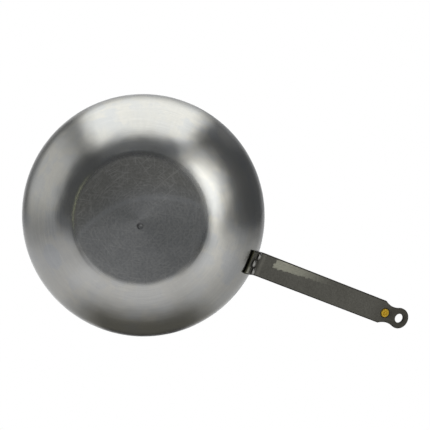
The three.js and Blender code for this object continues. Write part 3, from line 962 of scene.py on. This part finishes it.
# Soft panels: azimuth, half width and side softness, then the angles from straight down at which each
# starts and ends with their softness, all in degrees, and its level and tint
PANELS = [
    ("back softbox", 244.9, 34.1, 8, 74, 8, 142, 13, 1.35, (1, 1.005, 0.965)),
    ("side softbox", 309, 20.5, 19, 55, 5, 68.5, 29, 3.15, (1, 0.995, 0.94)),
    ("side softbox end", 338, 13, 13, 56.5, 3, 59, 18, 3.1, (1, 0.995, 0.94)),
    ("side glow", 312, 30, 14, 14, 10, 60, 8, 0.26, (1, 1, 0.96)),
    ("yellow card", 168, 18, 10, 34, 3, 39, 3, 0.62, (1, 1.05, 0.6)),
    ("back glow", 247, 30, 14, 50, 8, 72, 10, 0.055, (0.95, 1, 1.08)),
    ("left fill", 178.4, 23.2, 14, 77.5, 3, 134, 10, 0.56, (1, 1, 0.95)),
    ("low fill", 70.75, 39.25, 24, 28, 22, 91, 27, 0.645, (1, 0.995, 0.97)),
    ("low glow", 92, 28, 14, 8, 6, 40, 14, 0.10, (1, 1, 1)),
    ("low left glow", 117, 17, 12, 18, 7, 44, 14, 0.22, (1, 1, 1)),
    ("low right fill", 3.5, 19, 13, 56.5, 3, 85, 30, 0.55, (1, 1, 0.96)),
    ("right fill", 14.8, 23, 12, 55.5, 3, 151, 3, 0.34, (1, 1, 0.97)),
    ("far left fill", 124.5, 21.5, 15, 56, 10, 150, 3, 0.46, (1, 1, 0.985)),
    ("right shade", 291, 9, 8, 122, 22, 142, 8, 0.12, (1, 1, 1)),
    ("low shade", 72, 40, 16, 95, 15, 152, 8, 0.026, (1, 0.77, 0.1)),
    ("camera side", 180, 181, 1, -10, 5, 10, 8, 0.07, (1, 1, 1)),
    ("overhead", 180, 181, 1, 163.5, 20, 199, 3, 3.0, (1, 1, 1)),
    ("dark flag", 72, 18, 8, 147.5, 4, 175, 30, -0.62, (1, 1, 1)),
    ("left flag", 167, 26, 10, 154, 6, 175, 30, -0.24, (1, 1, 1)),
]
PANEL_ANGLES = ("Azimuth", "Half width", "Side softness", "Start", "Start softness", "End", "End softness")


def panel_group():
    """Share of one soft panel that is seen in a direction."""
    tree = bpy.data.node_groups.new("soft panel", "ShaderNodeTree")
    angles = {name: ("Float", 0.0) for name in PANEL_ANGLES}
    given, made = sockets(tree, {"Direction": ("Vector", None), **angles}, {"Cover": "Float"})
    part = node(tree, "ShaderNodeSeparateXYZ", {0: given["Direction"]}).outputs
    down = maths(tree, "DEGREES", maths(tree, "ARCCOSINE", maths(tree, "MULTIPLY", part["Z"], -1.0)))
    turn = maths(tree, "ARCTAN2", part["Y"], part["X"])
    away = maths(tree, "COSINE", maths(tree, "SUBTRACT", turn, maths(tree, "RADIANS", given["Azimuth"])))
    off = maths(tree, "DEGREES", maths(tree, "ARCCOSINE", away))

    def edge(value, place, softness, sign):
        reach = maths(tree, "MULTIPLY", given[softness], sign)
        low = maths(tree, "SUBTRACT", given[place], reach)
        return ramp(tree, value, low, maths(tree, "ADD", given[place], reach))

    sides = edge(off, "Half width", "Side softness", -1.0)
    starts = edge(down, "Start", "Start softness", 1.0)
    ends = edge(down, "End", "End softness", -1.0)
    tree.links.new(maths(tree, "MULTIPLY", sides, maths(tree, "MULTIPLY", starts, ends)), made["Cover"])
    return tree


def studio_world():
    """World lit by the panels, and plain white where the camera looks past the wok."""
    world = bpy.data.worlds.new("studio")
    world.use_nodes = True
    tree = world.node_tree
    direction = node(tree, "ShaderNodeTexCoord").outputs["Generated"]
    group = panel_group()
    light = ROOM_LIGHT
    for name, *angles, level, tint in PANELS:
        placed = node(tree, "ShaderNodeGroup", {}, node_tree=group, label=name)
        tree.links.new(direction, placed.inputs["Direction"])
        for key, angle in zip(PANEL_ANGLES, angles):
            placed.inputs[key].default_value = angle
        glow = node(tree, "ShaderNodeVectorMath", {0: [level * c for c in tint]}, operation="SCALE")
        tree.links.new(placed.outputs["Cover"], glow.inputs["Scale"])
        light = node(tree, "ShaderNodeVectorMath", {0: glow.outputs[0], 1: light}, operation="ADD").outputs[0]
    light = node(tree, "ShaderNodeVectorMath", {0: light, 1: DARKEST}, operation="MAXIMUM").outputs[0]
    seen = node(tree, "ShaderNodeLightPath").outputs["Is Camera Ray"]
    shown = blend_colour(tree, seen, light, (1, 1, 1, 1))
    tree.links.new(shown, tree.nodes["Background"].inputs["Color"])
    return world


def floor_finish():
    """Pale matte floor that fades to white further out, clear from below."""
    made, tree, shader, coords = material("pale floor")
    shader.inputs["Base Color"].default_value = FLOOR_COLOUR
    shader.inputs["Roughness"].default_value = FLOOR_ROUGHNESS
    path = node(tree, "ShaderNodeLightPath").outputs
    far = node(tree, "ShaderNodeVectorMath", {0: coords["Object"]}, operation="LENGTH").outputs["Value"]
    white = maths(tree, "MULTIPLY", ramp(tree, far, *FLOOR_FADE, bottom=FLOOR_WHITE), path["Is Camera Ray"])
    glow = node(tree, "ShaderNodeEmission", {"Color": (1, 1, 1, 1)})
    faded = node(tree, "ShaderNodeMixShader", {0: white, 1: shader.outputs[0], 2: glow.outputs[0]})
    through = maths(tree, "GREATER_THAN", path["Transparent Depth"], 0.5)
    below = node(tree, "ShaderNodeNewGeometry").outputs["Backfacing"]
    clear = node(tree, "ShaderNodeBsdfTransparent")
    mixed = node(tree, "ShaderNodeMixShader", {
        0: maths(tree, "MAXIMUM", through, below), 1: faded.outputs[0], 2: clear.outputs[0],
    })
    tree.links.new(mixed.outputs[0], tree.nodes["Material Output"].inputs["Surface"])
    return made


floor_mesh = bpy.data.meshes.new("floor")
corners = [(x * FLOOR_SIZE, y * FLOOR_SIZE, -FLOOR_DROP) for x, y in ((-1, -1), (1, -1), (1, 1), (-1, 1))]
floor_mesh.from_pydata(corners, [], [(0, 1, 2, 3)])
floor_mesh.materials.append(floor_finish())
floor = bpy.data.objects.new("floor", floor_mesh)
bpy.context.scene.collection.objects.link(floor)

bpy.context.scene.world = studio_world()
bpy.context.scene.view_settings.view_transform = "Standard"

lens = bpy.data.cameras.new("camera")
lens.lens = CAMERA_LENS
lens.sensor_width = CAMERA_SENSOR
lens.clip_end = CAMERA_REACH
camera = bpy.data.objects.new("camera", lens)
bpy.context.scene.collection.objects.link(camera)
camera_up = CAMERA_RIGHT.cross(CAMERA_LOOK)
camera.matrix_world = Matrix.Translation(CAMERA_PLACE) @ Matrix((
    (CAMERA_RIGHT.x, camera_up.x, -CAMERA_LOOK.x, 0),
    (CAMERA_RIGHT.y, camera_up.y, -CAMERA_LOOK.y, 0),
    (CAMERA_RIGHT.z, camera_up.z, -CAMERA_LOOK.z, 0),
    (0, 0, 0, 1),
))
bpy.context.scene.camera = camera
